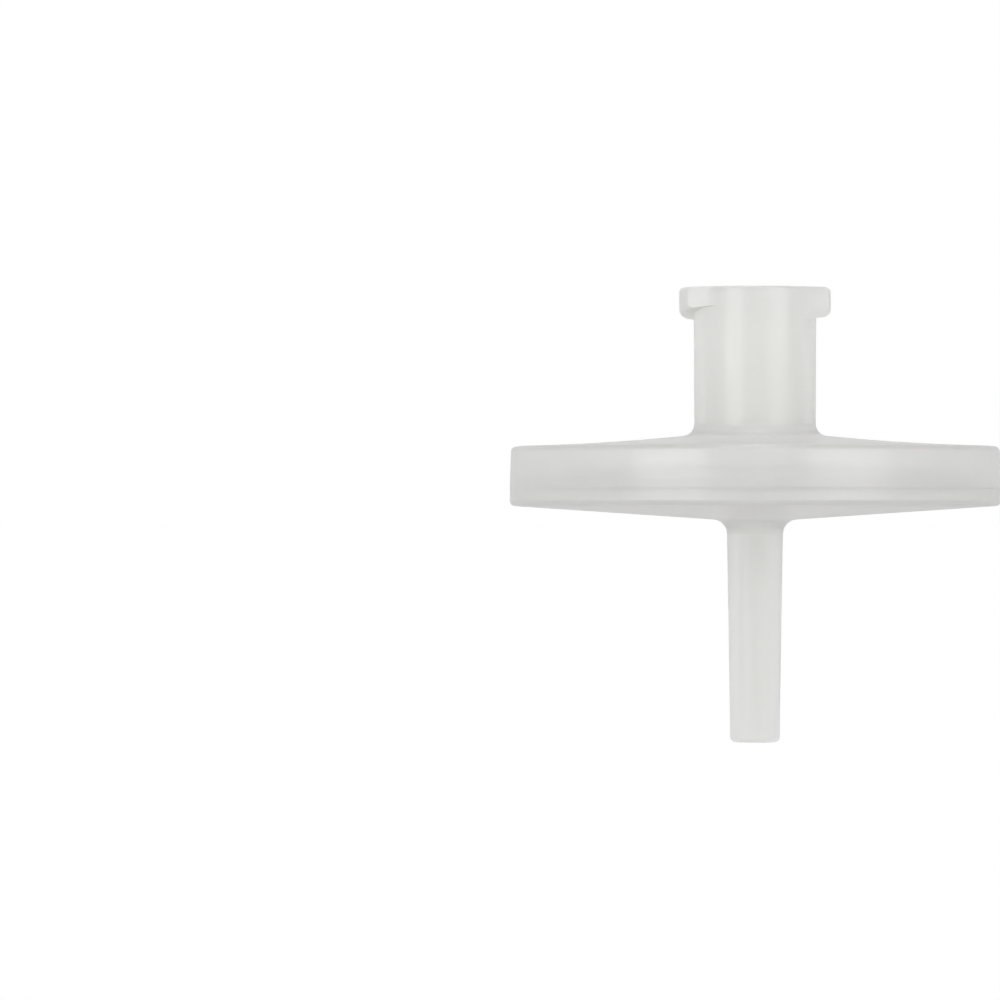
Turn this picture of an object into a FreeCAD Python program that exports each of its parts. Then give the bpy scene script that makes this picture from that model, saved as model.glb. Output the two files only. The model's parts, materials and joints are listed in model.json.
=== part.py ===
import FreeCAD, Part
import math
import os
import re
import Sketcher

# Syringe filter, 25 mm, with a female Luer-lock inlet and a slim outlet tube.
# Two polypropylene mouldings are welded together at the rim round a membrane.
# The origin is the centre of the inlet mouth. +Z points up, out of the inlet,
# so every height below is a depth under the mouth plane.

doc = FreeCAD.newDocument("syringe_filter")
sheet = doc.addObject("Spreadsheet::Sheet", "Sheet")

# alias, value in mm (or a plain count, ratio or angle), meaning
SIZES = [
    ("disc_dia", 25.0, "outside diameter of the disc, at the joint line"),
    ("rim_land", 0.45, "parallel band of the rim above the joint line"),
    ("rim_draft", 0.06, "radius that the rim loses from there to its upper edge"),
    ("rim_corner", 0.28, "rounding of the rim's two edges"),
    ("seam_break", 0.02, "rounding of each moulding's edge at the joint line"),
    ("upper_rim", 2.15, "height of the rim above the joint line"),
    ("lower_rim", 0.87, "height of the rim below the joint line"),
    ("dome_fall", 0.60, "fall of the dome from the hub to the rim"),
    ("dome_curve", 118.0, "radius of the dome's shallow flare"),
    ("hub_height", 7.50, "mouth plane to the foot of the hub"),
    ("hub_dia", 6.26, "outside diameter of the inlet hub at the mouth"),
    ("hub_draft", 0.035, "radius that the hub loses down to its foot"),
    ("hub_root", 0.62, "fillet between hub and dome"),
    ("mouth_dia", 4.27, "Luer socket diameter at the mouth plane"),
    ("luer_taper", 0.06, "Luer taper on diameter"),
    ("mouth_chamfer", 0.20, "lead-in chamfer of the socket"),
    ("port_land", 1.10, "height of the parallel land that ends the socket"),
    ("mouth_round", 0.10, "rounding of the hub's end outside the lugs"),
    ("lug_span", 7.73, "diameter over the two lock lugs"),
    ("lug_width", 2.78, "width of a lug's outer wall, corner to corner"),
    ("lug_tuck", 0.11, "how far a lug's flank, drawn on, would cut into the hub"),
    ("lug_depth", 1.30, "depth of a lug's underside at its middle"),
    ("lug_rise", 0.44, "rise of the underside over that width, right-handed"),
    ("lug_corner", 0.24, "rounding of a lug's outer edges"),
    ("step_wall", 1.05, "rim wall outside the locating step"),
    ("step_rise", 0.25, "joint line up to the plate inside the step"),
    ("tongue_wall", 2.55, "rim surface to the weld tongue"),
    ("tongue_width", 0.65, "width of the weld tongue"),
    ("tongue_rise", 0.60, "height of the tongue above the plate"),
    ("weld_gap", 0.04, "space round the tongue in its groove"),
    ("bead_gap", 0.35, "weld tongue to the sealing bead"),
    ("bead_width", 0.75, "width of the bead, which walls the chamber"),
    ("sheet_thick", 0.18, "membrane thickness"),
    ("sheet_edge", 0.15, "membrane beyond the bead"),
    ("sheet_gap", 0.12, "space between inlet ribs and membrane"),
    ("inlet_rib", 0.35, "height of the outermost inlet rib"),
    ("ceiling_rise", 0.25, "rise of the chamber's ceiling to the axis"),
    ("drain_depth", 0.40, "depth of the drain recess under the membrane"),
    ("rib_first", 3.46, "middle radius of the first inlet rib"),
    ("rib_margin", 1.14, "middle of the outermost rib to the chamber wall"),
    ("rib_width", 0.58, "width of a rib at the membrane"),
    ("rib_draft", 15, "slope of a rib's sides, degrees"),
    ("rib_sectors", 8, "ribs round a ring"),
    ("rib_angle", 22.5, "from the lugs' direction to the middle of a sector, degrees"),
    ("channel", 0.70, "width of the radial channels between ribs"),
    ("floor_fall", 0.74, "fall of the underside from the rim to the tube"),
    ("tube_length", 11.30, "length of the outlet tube"),
    ("tube_root_dia", 2.87, "outlet tube diameter at the disc"),
    ("tube_tip_dia", 2.52, "outlet tube diameter at the tip"),
    ("tube_root", 0.75, "fillet between disc and tube"),
    ("tube_corner", 0.27, "rounding of the tube's tip"),
    ("tube_bore", 1.20, "diameter of the outlet passage"),
    ("bore_round", 0.30, "rounding where a passage meets the chamber"),
]
INLET_RINGS = 4  # rings of ribs over the membrane
OUTLET_RINGS = 5  # rings of ribs under it, one more round the outlet

# Depths under the mouth plane, added up from the sizes above.
RIM_TOP = "(hub_height + dome_fall)"
SEAM = f"({RIM_TOP} + upper_rim)"
RIM_BASE = f"({SEAM} + lower_rim)"
FLOOR = f"({RIM_BASE} + floor_fall)"
TIP = f"({FLOOR} + tube_length)"
PLATE = f"({SEAM} - step_rise)"
TONGUE_TOP = f"({PLATE} - tongue_rise)"
SHEET_TOP = f"({PLATE} - sheet_thick)"
RIB_END = f"({SHEET_TOP} - sheet_gap)"
CEILING_EDGE = f"({RIB_END} - inlet_rib)"
CEILING_MID = f"({CEILING_EDGE} - ceiling_rise)"
DRAIN = f"({PLATE} + drain_depth)"
PORT_TOP = f"({CEILING_MID} - port_land)"

# Radii, from the rim inwards.
RIM = "(disc_dia / 2)"
RIM_UP = "(disc_dia / 2 - rim_draft)"
STEP = "(disc_dia / 2 - step_wall)"
TONGUE_OUT = "(disc_dia / 2 - tongue_wall)"
TONGUE_IN = f"({TONGUE_OUT} - tongue_width)"
BEAD = f"({TONGUE_IN} - bead_gap)"
CHAMBER = f"({BEAD} - bead_width)"
SHEET = f"({BEAD} + sheet_edge)"
HUB = "(hub_dia / 2)"
HUB_FOOT = "(hub_dia / 2 - hub_draft)"
LUG = "(lug_span / 2)"
FLANK = f"({HUB} - lug_tuck)"
PORT = f"(mouth_dia / 2 - luer_taper * ({PORT_TOP} - mouth_chamfer) / 2)"

# A lug in plan: its flanks run from the hub, almost tangent to it, to the corners
# of the outer wall. They are drawn on a little and are trimmed by the turning.
FACING = f"(asin(lug_width / lug_span) + acos({FLANK} / {LUG}))"
ROOT_X = f"({FLANK} * cos({FACING}))"
ROOT_Y = f"({FLANK} * sin({FACING}))"
END_X = f"({LUG} + lug_corner)"
END_Y = f"(({FLANK} - {END_X} * cos({FACING})) / sin({FACING}))"
LUG_FOOT = f"(lug_depth + lug_rise * {ROOT_Y} / lug_width)"
LUG_BROW = f"(lug_depth - lug_rise * {ROOT_Y} / lug_width)"
RIB_PITCH = f"(({CHAMBER} - rib_margin - rib_first) / {INLET_RINGS - 1})"

for row, (alias, value, meaning) in enumerate(SIZES, start=1):
    sheet.set(f"A{row}", meaning)
    sheet.set(f"B{row}", str(value))
    sheet.setAlias(f"B{row}", alias)
doc.recompute()


NEAR = 1e-4  # how close an edge has to be to where a formula puts it


def size(name):
    return float(getattr(sheet, name))


def value_of(formula):
    """The number that a formula of sheet aliases gives."""
    found = sheet.evalExpression(formula)
    return float(getattr(found, "Value", found))


def linked(formula):
    """The formula as an object outside the sheet has to write it."""
    return re.sub(r"\b([a-z][a-z_]+)\b(?!\()", r"Sheet.\1", formula)


def origin_part(body, role):
    return next(f for f in body.Origin.OriginFeatures if f.Role == role)


def new_sketch(body, name, role, height=None):
    sketch = body.newObject("Sketcher::SketchObject", name)
    sketch.AttachmentSupport = [(origin_part(body, role), "")]
    sketch.MapMode = "FlatFace"
    if height:
        sketch.setExpression("AttachmentOffset.Base.z", linked(height))
    doc.recompute()
    return sketch


def hold(sketch, geo, end, x, z):
    """Fix one end of a sketch element at the formulas x (across) and z (up)."""
    for axis, line, formula in (("DistanceX", -2, x), ("DistanceY", -1, z)):
        if formula == "0":
            sketch.addConstraint(Sketcher.Constraint("PointOnObject", geo, end, line))
            continue
        held = sketch.addConstraint(
            Sketcher.Constraint(axis, -1, 1, geo, end, value_of(formula))
        )
        sketch.setExpression(f"Constraints[{held}]", linked(formula))


def draw_outline(sketch, corners, curves=None):
    """Closed outline through the corners. curves gives, for the side that starts
    at a corner, the alias of its radius when that side is an arc, and 1 or -1 for
    an arc whose centre is on the left or on the right of the way round."""
    curves = curves or {}
    points = [FreeCAD.Vector(value_of(x), value_of(z), 0) for x, z in corners]
    starts, ends = [], []
    for i, here in enumerate(points):
        there = points[(i + 1) % len(points)]
        if i in curves:
            alias, side = curves[i]
            radius = size(alias)
            chord = there - here
            left = FreeCAD.Vector(-chord.y, chord.x, 0).normalize()
            reach = math.sqrt(radius**2 - (chord.Length / 2) ** 2)
            centre = (here + there) * 0.5 + left * reach * side
            way = (here, there) if side > 0 else (there, here)
            turn = [math.atan2((p - centre).y, (p - centre).x) for p in way]
            circle = Part.Circle(centre, FreeCAD.Vector(0, 0, 1), radius)
            geo = sketch.addGeometry(Part.ArcOfCircle(circle, *turn))
            held = sketch.addConstraint(Sketcher.Constraint("Radius", geo, radius))
            sketch.setExpression(f"Constraints[{held}]", linked(alias))
        else:
            side = 1
            geo = sketch.addGeometry(Part.LineSegment(here, there))
        starts.append((geo, 1 if side > 0 else 2))
        ends.append((geo, 2 if side > 0 else 1))
    for i, (x, z) in enumerate(corners):
        sketch.addConstraint(Sketcher.Constraint("Coincident", *ends[i - 1], *starts[i]))
        hold(sketch, *starts[i], x, z)


def turned(body, kind, name, corners, curves=None):
    """A profile in the XZ plane turned once round the Z axis."""
    sketch = new_sketch(body, name + "_profile", "XZ_Plane")
    draw_outline(sketch, corners, curves)
    feature = body.newObject(kind, name)
    feature.Profile = sketch
    feature.ReferenceAxis = (sketch, ["V_Axis"])
    feature.Angle = 360.0
    doc.recompute()
    return feature


def repeated(body, name, feature, count):
    """The feature repeated round the Z axis."""
    pattern = body.newObject("PartDesign::PolarPattern", name)
    pattern.Originals = [feature]
    pattern.Axis = (origin_part(body, "Z_Axis"), [""])
    pattern.Angle = 360.0
    if isinstance(count, str):
        pattern.setExpression("Occurrences", linked(count))
    else:
        pattern.Occurrences = count
    body.Tip = pattern
    doc.recompute()
    return pattern


def edges_where(shape, test):
    return [f"Edge{i}" for i, edge in enumerate(shape.Edges, start=1) if test(edge)]


def is_ring(radius, depth):
    """Test for a full circle round the Z axis, from formulas of its radius and depth."""
    reach, below = value_of(radius), value_of(depth)

    def test(edge):
        curve = edge.Curve
        return (
            isinstance(curve, Part.Circle)
            and math.hypot(curve.Center.x, curve.Center.y) < NEAR
            and abs(curve.Radius - reach) < NEAR
            and abs(curve.Center.z + below) < NEAR
        )

    return test


def rounded(body, name, test, radius):
    """Round the edges of the body so far that pass the test."""
    base = body.Tip
    names = edges_where(base.Shape, test)
    if not names:
        raise RuntimeError(f"{name}: no edge to round")
    fillet = body.newObject("PartDesign::Fillet", name)
    fillet.Base = (base, names)
    fillet.setExpression("Radius", linked(radius))
    doc.recompute()
    return fillet


def draw_rib(sketch, ring, first, guides):
    """One curved rib with round ends, on the ring of that number. Each end is half
    a channel clear of the guide line on its side of the sketch's X axis."""
    middle = f"{first} + {ring} * {RIB_PITCH}"
    radius, half = value_of(middle), size("rib_width") / 2
    reach = math.asin((size("channel") / 2 + half) / radius)
    turn = math.pi / size("rib_sectors") - reach
    up = FreeCAD.Vector(0, 0, 1)
    zero = FreeCAD.Vector(0, 0, 0)
    tips = [
        FreeCAD.Vector(radius * math.cos(a), radius * math.sin(a), 0)
        for a in (turn, -turn)
    ]
    outer, inner = (
        sketch.addGeometry(Part.ArcOfCircle(Part.Circle(zero, up, r), -turn, turn))
        for r in (radius + half, radius - half)
    )
    high = sketch.addGeometry(
        Part.ArcOfCircle(Part.Circle(tips[0], up, half), turn, turn + math.pi)
    )
    low = sketch.addGeometry(
        Part.ArcOfCircle(Part.Circle(tips[1], up, half), -turn + math.pi, -turn + 2 * math.pi)
    )
    for geo in (outer, inner):
        sketch.addConstraint(Sketcher.Constraint("Coincident", geo, 3, -1, 1))
    for geo, sign in ((outer, "+"), (inner, "-")):
        held = sketch.addConstraint(
            Sketcher.Constraint("Radius", geo, radius + half if sign == "+" else radius - half)
        )
        sketch.setExpression(
            f"Constraints[{held}]", linked(f"{middle} {sign} rib_width / 2")
        )
    sketch.addConstraint(Sketcher.Constraint("Tangent", outer, 2, high, 1))
    sketch.addConstraint(Sketcher.Constraint("Tangent", inner, 2, high, 2))
    sketch.addConstraint(Sketcher.Constraint("Tangent", outer, 1, low, 2))
    sketch.addConstraint(Sketcher.Constraint("Tangent", inner, 1, low, 1))
    for tip, guide in zip((high, low), guides):
        held = sketch.addConstraint(
            Sketcher.Constraint("Distance", tip, 3, guide, size("channel") / 2 + half)
        )
        sketch.setExpression(f"Constraints[{held}]", linked("(channel + rib_width) / 2"))


def ribs(body, name, rings, first, height, upward):
    """Rings of ribs: one sector drawn where the ribs end, padded up or down into the
    moulding with sloping sides, and repeated."""
    end = RIB_END if upward else PLATE
    sketch = new_sketch(body, name + "_sector", "XY_Plane", f"-{end}")
    sketch.setExpression("AttachmentOffset.Rotation.Angle", "Sheet.rib_angle")
    half_sector = math.pi / size("rib_sectors")
    reach = size("disc_dia") / 2
    guides = []
    for side in (1, -1):
        far = FreeCAD.Vector(
            reach * math.cos(half_sector), side * reach * math.sin(half_sector), 0
        )
        line = sketch.addGeometry(Part.LineSegment(FreeCAD.Vector(0, 0, 0), far), True)
        sketch.addConstraint(Sketcher.Constraint("Coincident", line, 1, -1, 1))
        held = sketch.addConstraint(Sketcher.Constraint("Distance", line, reach))
        sketch.setExpression(f"Constraints[{held}]", linked("disc_dia / 2"))
        pair = (-1, 1, line, 1) if side > 0 else (line, 1, -1, 1)
        held = sketch.addConstraint(Sketcher.Constraint("Angle", *pair, half_sector))
        sketch.setExpression(f"Constraints[{held}]", "180 deg / Sheet.rib_sectors")
        guides.append(line)
    for ring in range(rings):
        draw_rib(sketch, ring, first, guides)
    pad = body.newObject("PartDesign::Pad", name)
    pad.Profile = sketch
    pad.Reversed = not upward
    pad.setExpression("Length", linked(height))
    pad.setExpression("TaperAngle", "Sheet.rib_draft * 1 deg")
    doc.recompute()
    return repeated(body, name + "_pattern", pad, "rib_sectors")


# Inlet moulding. Its two lock lugs come first, as one block through the axis. The
# undersides are cut before the hub is there and climb right-handed, as on a screw.
inlet = doc.addObject("PartDesign::Body", "inlet_housing")
inlet.Label = "inlet_housing"
lug_sketch = new_sketch(inlet, "lug_plan", "XY_Plane", f"-{LUG_FOOT}")
draw_outline(
    lug_sketch,
    [
        (END_X, f"-{END_Y}"),
        (END_X, END_Y),
        (ROOT_X, ROOT_Y),
        (f"-{ROOT_X}", ROOT_Y),
        (f"-{END_X}", END_Y),
        (f"-{END_X}", f"-{END_Y}"),
        (f"-{ROOT_X}", f"-{ROOT_Y}"),
        (ROOT_X, f"-{ROOT_Y}"),
    ],
)
lugs = inlet.newObject("PartDesign::Pad", "lugs")
lugs.Profile = lug_sketch
lugs.setExpression("Length", linked(LUG_FOOT))
doc.recompute()
ramp_sketch = new_sketch(inlet, "lug_ramp_end_view", "YZ_Plane")
draw_outline(
    ramp_sketch,
    [
        (f"-{ROOT_Y}", f"-{LUG_FOOT}"),
        (ROOT_Y, f"-{LUG_FOOT}"),
        (ROOT_Y, f"-{LUG_BROW}"),
    ],
)
ramp = inlet.newObject("PartDesign::Pocket", "lug_ramp")
ramp.Profile = ramp_sketch
ramp.Reversed = True
ramp.setExpression("Length", linked(END_X))
doc.recompute()
repeated(inlet, "lug_ramps", ramp, 2)

# Hub, dome, upper rim, weld groove, sealing bead and ceiling in one turned profile.
turned(
    inlet,
    "PartDesign::Revolution",
    "inlet_shell",
    [
        ("0", "0"),
        (f"{HUB} - mouth_round", "0"),
        (HUB, "-mouth_round"),
        (HUB_FOOT, "-hub_height"),
        (RIM_UP, f"-{RIM_TOP}"),
        (RIM, f"-{SEAM} + rim_land"),
        (RIM, f"-{SEAM}"),
        (STEP, f"-{SEAM}"),
        (STEP, f"-{PLATE}"),
        (f"{TONGUE_OUT} + weld_gap", f"-{PLATE}"),
        (f"{TONGUE_OUT} + weld_gap", f"-{TONGUE_TOP} + weld_gap"),
        (f"{TONGUE_IN} - weld_gap", f"-{TONGUE_TOP} + weld_gap"),
        (f"{TONGUE_IN} - weld_gap", f"-{RIB_END}"),
        (BEAD, f"-{RIB_END}"),
        (BEAD, f"-{SHEET_TOP}"),
        (CHAMBER, f"-{SHEET_TOP}"),
        (CHAMBER, f"-{CEILING_EDGE}"),
        ("0", f"-{CEILING_MID}"),
    ],
    {1: ("mouth_round", -1), 3: ("dome_curve", 1)},
)
rounded(inlet, "hub_root_fillet", is_ring(HUB_FOOT, "hub_height"), "hub_root")
rounded(inlet, "upper_rim_round", is_ring(RIM_UP, RIM_TOP), "rim_corner")
rounded(inlet, "upper_seam_round", is_ring(RIM, SEAM), "seam_break")

# The lugs' outer walls are turned to one diameter.
turned(
    inlet,
    "PartDesign::Groove",
    "lug_turning",
    [
        (LUG, "lug_corner"),
        (f"{LUG} + lug_width", "lug_corner"),
        (f"{LUG} + lug_width", f"-{LUG_FOOT} - lug_corner"),
        (LUG, f"-{LUG_FOOT} - lug_corner"),
    ],
)


def is_lug_edge(edge):
    """The edges round the outer wall of each lug."""
    ends = edge.Vertexes
    return (
        min(math.hypot(v.X, v.Y) for v in ends) > value_of(LUG) - NEAR
        and min(v.Z for v in ends) > -size("hub_height")
    )


rounded(inlet, "lug_rounding", is_lug_edge, "lug_corner")

# The 6 % conical socket ends in a short parallel land that opens into the chamber.
turned(
    inlet,
    "PartDesign::Groove",
    "luer_socket",
    [
        ("0", "mouth_chamfer"),
        ("mouth_dia / 2 + 2 * mouth_chamfer", "mouth_chamfer"),
        ("mouth_dia / 2", "-mouth_chamfer"),
        (PORT, f"-{PORT_TOP}"),
        (PORT, f"-{PLATE}"),
        ("0", f"-{PLATE}"),
    ],
)


def is_socket_end(edge):
    """The circle where the socket opens into the chamber."""
    curve = edge.Curve
    return (
        isinstance(curve, Part.Circle)
        and abs(curve.Radius - value_of(PORT)) < NEAR
        and value_of(CEILING_MID) < -curve.Center.z < value_of(CEILING_EDGE)
    )


rounded(inlet, "socket_end_round", is_socket_end, "bore_round")
ribs(inlet, "inlet_ribs", INLET_RINGS, "rib_first", "inlet_rib + ceiling_rise", True)

# Outlet moulding: lower rim, weld tongue, drain recess, underside and tube.
outlet = doc.addObject("PartDesign::Body", "outlet_housing")
outlet.Label = "outlet_housing"
turned(
    outlet,
    "PartDesign::Revolution",
    "outlet_shell",
    [
        ("0", f"-{DRAIN}"),
        ("0", f"-{TIP}"),
        ("tube_tip_dia / 2", f"-{TIP}"),
        ("tube_root_dia / 2", f"-{FLOOR}"),
        (RIM, f"-{RIM_BASE}"),
        (RIM, f"-{SEAM}"),
        (f"{STEP} - weld_gap", f"-{SEAM}"),
        (f"{STEP} - weld_gap", f"-{PLATE}"),
        (TONGUE_OUT, f"-{PLATE}"),
        (TONGUE_OUT, f"-{TONGUE_TOP}"),
        (TONGUE_IN, f"-{TONGUE_TOP}"),
        (TONGUE_IN, f"-{PLATE}"),
        (CHAMBER, f"-{PLATE}"),
        (CHAMBER, f"-{DRAIN}"),
    ],
)
rounded(outlet, "tube_root_fillet", is_ring("tube_root_dia / 2", FLOOR), "tube_root")
rounded(outlet, "tube_tip_round", is_ring("tube_tip_dia / 2", TIP), "tube_corner")
rounded(outlet, "lower_rim_round", is_ring(RIM, RIM_BASE), "rim_corner")
rounded(outlet, "lower_seam_round", is_ring(RIM, SEAM), "seam_break")
turned(
    outlet,
    "PartDesign::Groove",
    "outlet_passage",
    [
        ("0", f"-{PLATE}"),
        ("tube_bore / 2", f"-{PLATE}"),
        ("tube_bore / 2", f"-{TIP} - tube_bore"),
        ("0", f"-{TIP} - tube_bore"),
    ],
)
rounded(outlet, "outlet_lead_in", is_ring("tube_bore / 2", DRAIN), "bore_round")
ribs(outlet, "outlet_ribs", OUTLET_RINGS, f"rib_first - {RIB_PITCH}", "drain_depth", False)

# Membrane: a plain disc that lies on the outlet ribs, held by the bead.
membrane = doc.addObject("Part::Cylinder", "membrane")
membrane.Label = "membrane"
membrane.setExpression("Radius", linked(SHEET))
membrane.setExpression("Height", linked("sheet_thick"))
membrane.setExpression("Placement.Base.z", linked(f"-{PLATE}"))
doc.recompute()

for item in doc.Objects:
    if "Invalid" in item.State or "Error" in item.State:
        raise RuntimeError(f"{item.Name} is {item.State}")
nodes = [inlet, outlet, membrane]
for node in nodes:
    if node.Shape.isNull() or not node.Shape.isValid() or len(node.Shape.Solids) != 1:
        raise RuntimeError(f"{node.Label} has no single valid solid")

os.makedirs("parts", exist_ok=True)
for node in nodes:
    node.Shape.exportStep(f"parts/{node.Label}.step")
    box = node.Shape.BoundBox
    print(node.Label, "volume", round(node.Shape.Volume, 2), "box", box)
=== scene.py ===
"""Looks of a 25 mm syringe filter: translucent polypropylene mouldings on white."""
import json
import math

import bpy
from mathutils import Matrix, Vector

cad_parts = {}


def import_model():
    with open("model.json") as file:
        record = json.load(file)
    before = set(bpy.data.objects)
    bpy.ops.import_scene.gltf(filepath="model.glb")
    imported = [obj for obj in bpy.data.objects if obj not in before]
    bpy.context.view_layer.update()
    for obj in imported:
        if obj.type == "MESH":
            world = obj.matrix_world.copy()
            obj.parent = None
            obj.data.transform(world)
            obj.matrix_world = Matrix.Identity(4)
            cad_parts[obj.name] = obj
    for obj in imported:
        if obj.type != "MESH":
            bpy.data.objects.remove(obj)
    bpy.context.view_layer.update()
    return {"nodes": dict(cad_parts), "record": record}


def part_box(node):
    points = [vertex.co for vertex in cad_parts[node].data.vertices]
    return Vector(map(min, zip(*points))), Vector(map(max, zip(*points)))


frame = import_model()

MM = 0.001
scene = bpy.context.scene
scene.view_settings.view_transform = "Standard"

WALL_BOUNCES = 40  # light works its way through several milky walls
scene.cycles.max_bounces = WALL_BOUNCES
scene.cycles.transmission_bounces = WALL_BOUNCES
scene.cycles.diffuse_bounces = WALL_BOUNCES // 2
scene.cycles.glossy_bounces = WALL_BOUNCES // 2


# ---------------------------------------------------------------- node helpers
def new_material(name):
    """An empty node material: (material, tree, output node)."""
    material = bpy.data.materials.new(name)
    material.use_nodes = True
    tree = material.node_tree
    tree.nodes.clear()
    return material, tree, tree.nodes.new("ShaderNodeOutputMaterial")


def node(tree, kind, inputs=None, **settings):
    """A node with its settings and inputs. An input is a value or an output socket."""
    made = tree.nodes.new("ShaderNode" + kind)
    for key, value in settings.items():
        setattr(made, key, value)
    for key, value in (inputs or {}).items():
        socket = made.inputs[key]
        if isinstance(value, bpy.types.NodeSocket):
            tree.links.new(value, socket)
        else:
            socket.default_value = value
    return made


def math_of(tree, operation, *values):
    """The result of a Math node on these values."""
    return node(tree, "Math", dict(enumerate(values)), operation=operation).outputs[0]


def times(tree, first, second):
    return math_of(tree, "MULTIPLY", first, second)


def span(tree, value, start, end, low=0.0, high=1.0):
    """The value's way from start to end, as a number from low to high."""
    return node(
        tree, "MapRange",
        {
            "Value": value,
            "From Min": start, "From Max": end,
            "To Min": low, "To Max": high,
        },
    ).outputs["Result"]


def mixed(tree, share, under, over):
    """The colour under, with this share of the other one laid over it."""
    inputs = {"Factor": share}
    for key, colour in (("A", under), ("B", over)):
        inputs[key] = (*colour, 1.0) if isinstance(colour, tuple) else colour
    return node(tree, "Mix", inputs, data_type="RGBA").outputs["Result"]


def noise(tree, place, scale, detail):
    """Noise from 0 to 1, with this many features a metre and this many finer layers."""
    return node(
        tree, "TexNoise", {"Vector": place, "Scale": scale, "Detail": detail}
    ).outputs["Fac"]


def bumps(tree, height, strength, distance):
    """The surface's normal over bumps of this height."""
    return node(
        tree, "Bump", {"Strength": strength, "Distance": distance, "Height": height}
    ).outputs["Normal"]


# ---------------------------------------------------------------- places on the part
# Depths under the mouth plane, radii and widths are in mm. The main ones are read from
# the frame, and the rest are counted from them or from the mouth and the axis.
def reach(name):
    """How deep a piece goes and its radius, from the frame."""
    low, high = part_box(name)
    return -low.z / MM, high.x / MM


JOINT, RIM = reach("inlet_housing")  # the upper moulding ends at the joint line
TIP, _ = reach("outlet_housing")
PLATE, _ = reach("membrane")  # it lies on the lower moulding's plate
SOCKET = next(
    mount["dims"]["r_mm"] for mount in frame["record"]["mounts"]
    if mount["name"] == "luer_inlet"
)

# An edge is the pair of places between which a colour comes in or goes out.
SHEET_DEPTH = PLATE - 0.15  # middle of the flow gap that the membrane lies in
RIB_ENDS = (0.17, 0.32)  # distance from there, up or down
CHAMBER_WALLS = (0.82, 0.86)
CHAMBER_HUB = (2.8, 3.0)  # radius
CHAMBER_RIM = (RIM - 2.60, RIM - 2.57)

TUBE_ROOT = (TIP - 10.66, TIP - 9.16)  # up from the tip
MOUTH = (0.8, 2.2)

SOCKET_MOUTH = (1.5, 3.5)
SOCKET_END = (PLATE - 0.6, PLATE - 0.4)
SOCKET_WALL = (SOCKET + 0.065, SOCKET + 0.165)  # radius

KNIT_WIDTH = (0.03, 0.06)  # distance from the line's middle
KNIT_HUB = (3.6, 3.9)  # radius
KNIT_RIM = (RIM - 1.3, RIM - 0.9)
DOME_DEPTH = (JOINT - 2.05, JOINT - 1.95)  # just under the rim's upper edge


# ---------------------------------------------------------------- materials
PLASTIC_DULL = (0.935, 0.934, 0.918)
PLASTIC_CLEAR = (0.962, 0.961, 0.945)
# Painted shade: the chamber's faces between the ribs are darkened so the ribs stand out
# through the plastic.
CHAMBER_PAINTED_SHADE = (0.40, 0.40, 0.39)
# Painted shade: the tube and the hub's mouth are darkened where the light through them
# makes them too bright.
END_PAINTED_SHADE = (0.915, 0.915, 0.90)
# Painted light on the socket's walls; the same white also marks the knit line on the dome.
PAINTED_LIGHT_AND_KNIT_WHITE = (1.0, 1.0, 0.99)
SHEET_DULL = (0.97, 0.97, 0.95)
SHEET_BRIGHT = (0.99, 0.99, 0.97)


def after(tree, value, edge):
    """0 before this edge and 1 after it."""
    return span(tree, value, edge[0] * MM, edge[1] * MM)


def before(tree, value, edge):
    """1 before this edge and 0 after it."""
    return span(tree, value, edge[0] * MM, edge[1] * MM, 1.0, 0.0)


def between(tree, value, first, last):
    """1 between these two edges and 0 outside them."""
    return times(tree, after(tree, value, first), before(tree, value, last))


def in_chamber_painted_shade(tree, depth, radius):
    """1 on the chamber's faces, darkened as painted shade so the ribs show, 0 on the rib
    ends and everywhere outside.
    """
    below = math_of(tree, "SUBTRACT", depth, SHEET_DEPTH * MM)
    away = math_of(tree, "ABSOLUTE", below)
    return times(
        tree,
        between(tree, away, RIB_ENDS, CHAMBER_WALLS),
        between(tree, radius, CHAMBER_HUB, CHAMBER_RIM),
    )


def in_ends_painted_shade(tree, depth):
    """1 on the outlet tube and round the hub's mouth, the two thin ends, darkened as
    painted shade against the light they get.
    """
    return math_of(
        tree, "MAXIMUM", after(tree, depth, TUBE_ROOT), before(tree, depth, MOUTH)
    )


def in_socket_painted_light(tree, depth, radius):
    """1 on the walls of the Luer socket, fading toward its mouth, lightened as painted
    light in the dark hole.
    """
    return times(
        tree,
        between(tree, depth, SOCKET_MOUTH, SOCKET_END),
        before(tree, radius, SOCKET_WALL),
    )


def on_knit_line(tree, aside, depth, radius):
    """1 on the fine line where the plastic's two flows met, across the dome."""
    line = times(
        tree,
        before(tree, math_of(tree, "ABSOLUTE", aside), KNIT_WIDTH),
        before(tree, depth, DOME_DEPTH),
    )
    return times(tree, line, between(tree, radius, KNIT_HUB, KNIT_RIM))


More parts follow.
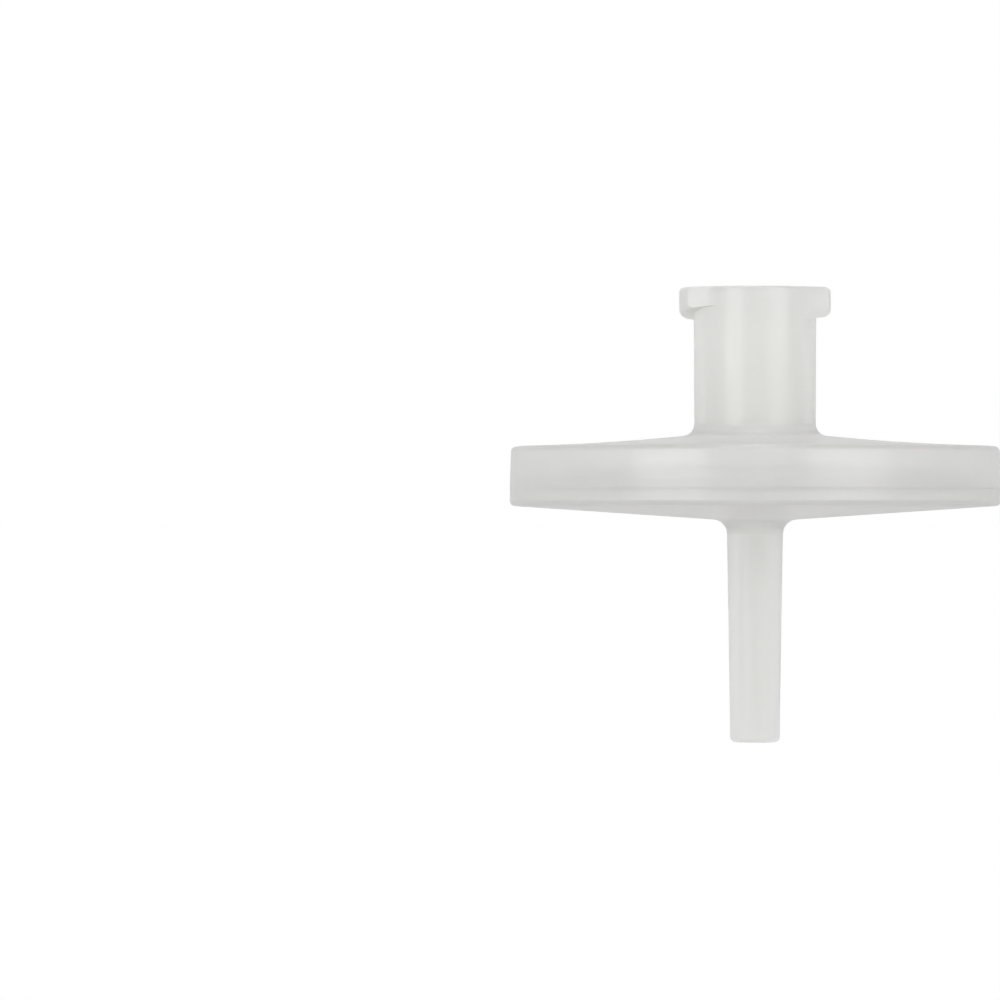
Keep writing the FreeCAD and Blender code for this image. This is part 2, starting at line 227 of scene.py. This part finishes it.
def polypropylene():
    """Natural polypropylene: milky, part clear, with a soft moulded gloss."""
    material, tree, output = new_material("polypropylene")
    place = node(tree, "TexCoord").outputs["Object"]
    aside, along, height = node(tree, "SeparateXYZ", {"Vector": place}).outputs
    depth = math_of(tree, "MULTIPLY", height, -1.0)
    flat = node(tree, "CombineXYZ", {"X": aside, "Y": along}).outputs["Vector"]
    radius = node(
        tree, "VectorMath", {0: flat}, operation="LENGTH"
    ).outputs["Value"]

    cloud = noise(tree, place, scale=260.0, detail=3.0)
    drift = span(tree, cloud, start=0.3, end=0.7)
    shade = mixed(tree, drift, PLASTIC_DULL, PLASTIC_CLEAR)
    for share, colour in (
        # painted shade in the chamber between the ribs
        (in_chamber_painted_shade(tree, depth, radius), CHAMBER_PAINTED_SHADE),
        # painted shade on the tube and round the hub's mouth
        (in_ends_painted_shade(tree, depth), END_PAINTED_SHADE),
        # painted light on the socket's walls
        (in_socket_painted_light(tree, depth, radius), PAINTED_LIGHT_AND_KNIT_WHITE),
        (on_knit_line(tree, aside, depth, radius), PAINTED_LIGHT_AND_KNIT_WHITE),
    ):
        shade = mixed(tree, share, shade, colour)

    facing = node(tree, "LayerWeight", {"Blend": 0.5}).outputs["Facing"]
    grain = noise(tree, place, scale=6500.0, detail=2.0)
    shader = node(
        tree, "BsdfPrincipled",
        {
            "Base Color": shade,
            "Roughness": span(tree, cloud, start=0.0, end=1.0, low=0.30, high=0.36),
            "IOR": 1.3,  # a hazy wall bends light less than a clear one
            "Specular IOR Level": 0.0,  # the coat below carries the gloss
            "Transmission Weight": 0.4,
            # The moulded grain dulls the gloss at a glancing angle.
            "Coat Weight": span(tree, facing, start=0.35, end=0.75, low=0.9, high=0.0),
            "Coat Roughness": 0.2,
            "Normal": bumps(tree, grain, strength=0.12, distance=0.02 * MM),
        },
    )
    tree.links.new(shader.outputs["BSDF"], output.inputs["Surface"])
    return material


def membrane_white():
    """The porous white sheet."""
    material, tree, output = new_material("membrane")
    place = node(tree, "TexCoord").outputs["Object"]
    fibre = noise(tree, place, scale=9000.0, detail=4.0)
    shader = node(
        tree, "BsdfPrincipled",
        {
            "Base Color": mixed(tree, fibre, SHEET_DULL, SHEET_BRIGHT),
            "Roughness": 0.9,
            "Subsurface Weight": 1.0,
            "Subsurface Scale": 0.3 * MM,
            "Normal": bumps(tree, fibre, strength=0.3, distance=0.01 * MM),
        },
    )
    tree.links.new(shader.outputs["BSDF"], output.inputs["Surface"])
    return material


# ---------------------------------------------------------------- shading of the meshes
SAME_PLACE = 0.0001 * MM  # grid on which corners of different faces are matched
SAME_NORMAL = 0.9999  # cosine between two normals that count as one
SPOILT_NORMAL = 0.5  # cosine below which a corner's normal doesn't fit its face
LUG_CREASE = math.radians(20)
LUG_DEPTH = 3 * MM  # the lugs and their run into the hub lie above this depth
SEAM_DEPTH = JOINT * MM  # the two mouldings' joint line
SEAM_REACH = 0.03 * MM
SEAM_RADIUS = (RIM - 0.05) * MM
SEAM_FADE = 0.8
LEVEL = 0.98  # upright part of the normal of the joint's own level faces


def soften_creases(mesh, limit, depth):
    """Shade across creases under this angle, down to this depth, as at the lugs.

    Corner normals that a sliver of the mesh has spoilt are mended at any depth.
    """
    corners = [mesh.vertices[corner.vertex_index].co for corner in mesh.loops]
    places = [tuple(round(part / SAME_PLACE) for part in co) for co in corners]
    normals = [corner.vector.normalized() for corner in mesh.corner_normals]
    for face in mesh.polygons:
        for corner in face.loop_indices:
            if normals[corner].dot(face.normal) < SPOILT_NORMAL:
                normals[corner] = face.normal.copy()
    meeting = {}
    for place, normal in zip(places, normals):
        met = meeting.setdefault(place, [])
        if all(normal.dot(other) < SAME_NORMAL for other in met):
            met.append(normal)
    least = math.cos(limit)
    soft = []
    for co, place, normal in zip(corners, places, normals):
        near = [other for other in meeting[place] if normal.dot(other) > least]
        blended = len(near) > 1 and co.z > -depth
        soft.append(sum(near, Vector()).normalized() if blended else normal)
    mesh.polygons.foreach_set("use_smooth", [True] * len(mesh.polygons))
    mesh.normals_split_custom_set(soft)


def fade_seam(mesh):
    """Shade the small rounds at the weld almost as the rim's wall, so its line is faint."""
    normals = [corner.vector.copy() for corner in mesh.corner_normals]
    for face in mesh.polygons:
        centre = face.center
        at_joint = abs(centre.z + SEAM_DEPTH) < SEAM_REACH
        at_rim = centre.xy.length > SEAM_RADIUS
        if at_joint and at_rim and abs(face.normal.z) < LEVEL:
            for corner in face.loop_indices:
                spot = mesh.vertices[mesh.loops[corner].vertex_index].co
                outward = Vector((spot.x, spot.y, 0.0)).normalized()
                normals[corner] = normals[corner].lerp(outward, SEAM_FADE).normalized()
    mesh.normals_split_custom_set(normals)


plastic = polypropylene()
for name, material in (
    ("inlet_housing", plastic),
    ("outlet_housing", plastic),
    ("membrane", membrane_white()),
):
    mesh = frame["nodes"][name].data
    mesh.materials.clear()
    mesh.materials.append(material)
    soften_creases(mesh, LUG_CREASE, LUG_DEPTH)
    fade_seam(mesh)


# ---------------------------------------------------------------- stage
WHITE = (1.0, 1.0, 1.0, 1.0)
FLOOR_SIZE = 60.0
FLOOR_DEPTH = 42 * MM
PAPER = 0.88  # the floor's own colour
SKY_LOW, SKY_HIGH = 0.47, 0.83  # level of the light tent at eye height and overhead
SKY_NEAR, SKY_FAR = 0.6, 1.4  # share of it on the camera's side and behind the filter
TABLE = 0.06  # light that comes up through the floor's paper
LAMPS = (  # name, bearing right of the camera, elevation, level, spread, in degrees
    ("left_box", -40, 8, 0.205, 36),
    ("right_box", 46, 8, 0.19, 38),
    ("top_box", 0, 88, 0.12, 16),
)
TURN = math.radians(-7)  # the filter is seen a little from the left of its front


def round_to_camera(across, near, up):
    """A place or direction given right of, toward and above the camera's view."""
    return Vector((
        across * math.cos(TURN) + near * math.sin(TURN),
        across * math.sin(TURN) - near * math.cos(TURN),
        up,
    ))


def share_on_floor(high, spread):
    """Part of a round lamp's light that a level floor gets, 1 with the lamp overhead."""
    total = 0.0
    steps = 40
    for i in range(steps):
        reach = math.sqrt((i + 0.5) / steps) * spread / 2
        for j in range(steps):
            up = high + reach * math.sin(2 * math.pi * (j + 0.5) / steps)
            total += max(0.0, math.sin(math.radians(up)))
    return total / steps ** 2


FLOOR_LIGHT = (SKY_LOW + 2 * SKY_HIGH) / 3 + sum(
    level * share_on_floor(high, spread) for _, _, high, level, spread in LAMPS
)


def seen_rays(tree):
    """1 for rays that show a surface: camera, mirror and refracted rays."""
    path = node(tree, "LightPath")
    some = math_of(
        tree, "MAXIMUM", path.outputs["Is Camera Ray"], path.outputs["Is Glossy Ray"]
    )
    return math_of(tree, "MAXIMUM", some, path.outputs["Is Transmission Ray"])


def make_floor():
    bpy.ops.mesh.primitive_plane_add(size=FLOOR_SIZE, location=(0, 0, -FLOOR_DEPTH))
    floor = bpy.context.object
    floor.name = "floor"
    floor.visible_shadow = False  # the low light boxes reach below the table's edge
    material, tree, output = new_material("floor")
    paper = node(tree, "BsdfDiffuse", {"Color": (PAPER, PAPER, PAPER, 1)})
    fill = 1.0 - PAPER * FLOOR_LIGHT  # what the lit paper lacks to be seen as white
    lift = span(tree, seen_rays(tree), 0.0, 1.0, TABLE, fill)
    glow = node(tree, "Emission", {"Strength": lift})
    both = node(tree, "AddShader", {0: paper.outputs[0], 1: glow.outputs[0]})
    one_sided = node(  # a camera under the table looks through it
        tree, "MixShader",
        {
            0: node(tree, "NewGeometry").outputs["Backfacing"],
            1: both.outputs["Shader"],
            2: node(tree, "BsdfTransparent").outputs["BSDF"],
        },
    )
    tree.links.new(one_sided.outputs["Shader"], output.inputs["Surface"])
    floor.data.materials.append(material)


def make_world():
    """A white light tent, brighter overhead and behind the filter."""
    world = bpy.data.worlds.new("studio")
    scene.world = world
    world.use_nodes = True
    tree = world.node_tree
    tree.nodes.clear()
    toward = node(tree, "TexCoord").outputs["Generated"]
    _, behind, above = node(tree, "SeparateXYZ", {"Vector": toward}).outputs
    tent = times(
        tree,
        span(tree, above, 0.0, 1.0, SKY_LOW, SKY_HIGH),
        span(tree, behind, -1.0, 1.0, SKY_NEAR, SKY_FAR),
    )
    level = span(tree, seen_rays(tree), 0.0, 1.0, tent, 1.0)
    back = node(tree, "Background", {"Color": WHITE, "Strength": level})
    output = tree.nodes.new("ShaderNodeOutputWorld")
    tree.links.new(back.outputs["Background"], output.inputs["Surface"])


def make_lamp(name, bearing, high, level, spread):
    """A soft lamp that adds this level to a white surface facing it."""
    lamp = bpy.data.lights.new(name, "SUN")
    lamp.energy = level * math.pi
    lamp.angle = math.radians(spread)
    holder = bpy.data.objects.new(name, lamp)
    scene.collection.objects.link(holder)
    side, up = math.radians(bearing), math.radians(high)
    toward = round_to_camera(
        math.sin(side) * math.cos(up), math.cos(side) * math.cos(up), math.sin(up)
    )
    holder.rotation_mode = "QUATERNION"
    holder.rotation_quaternion = toward.to_track_quat("Z", "Y")


make_floor()
make_world()
for lamp in LAMPS:
    make_lamp(*lamp)


# ---------------------------------------------------------------- camera
DISTANCE = 330 * MM
SENSOR = 36.0  # width in millimetres, as Blender takes it
FRAME_WIDTH = 51.02 * MM  # width of the view at the object
AIM_X, AIM_Z = -13.01 * MM, -10.82 * MM  # the filter stands right of the middle
EYE_Z = -11.84 * MM

camera_data = bpy.data.cameras.new("camera")
camera_data.sensor_width = SENSOR
camera_data.lens = SENSOR * DISTANCE / FRAME_WIDTH
camera_data.clip_start = 0.01
camera_data.clip_end = 100.0
camera = bpy.data.objects.new("camera", camera_data)
scene.collection.objects.link(camera)
camera.location = round_to_camera(0, DISTANCE, EYE_Z)
aim = round_to_camera(AIM_X, 0, AIM_Z) - camera.location
camera.rotation_mode = "QUATERNION"
camera.rotation_quaternion = aim.to_track_quat("-Z", "Y")
scene.camera = camera
